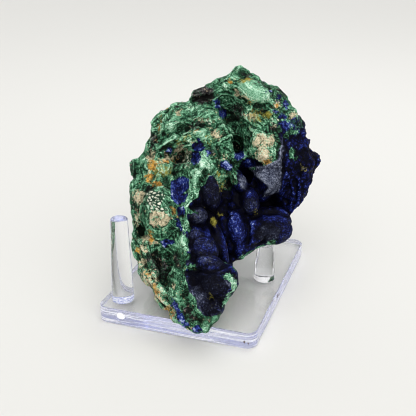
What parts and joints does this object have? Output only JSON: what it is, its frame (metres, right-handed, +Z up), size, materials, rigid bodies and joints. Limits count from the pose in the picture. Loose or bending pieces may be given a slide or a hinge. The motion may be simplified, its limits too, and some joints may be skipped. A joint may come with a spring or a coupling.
{
  "type": "azurite specimen",
  "caption": "Rough azurite and malachite mineral specimen with a knobbly dark-blue hollow, leaning on a clear acrylic peg stand.",
  "frame": {"origin": "centre of the stand plate's underside", "axes": "+Z up; the plate's long side runs along Y, and the stone's display face looks towards -Y, turned a little to +X"},
  "size_m": [0.0877, 0.1136, 0.109],
  "materials": {
    "stone": "rough natural azurite and malachite",
    "acrylic": "clear polished acrylic"
  },
  "bodies": {
    "root": {"specimen": "stone", "base_plate": "acrylic", "tall_peg_front": "acrylic", "tall_peg_back": "acrylic", "short_peg": "acrylic"}
  },
  "joints": []
}
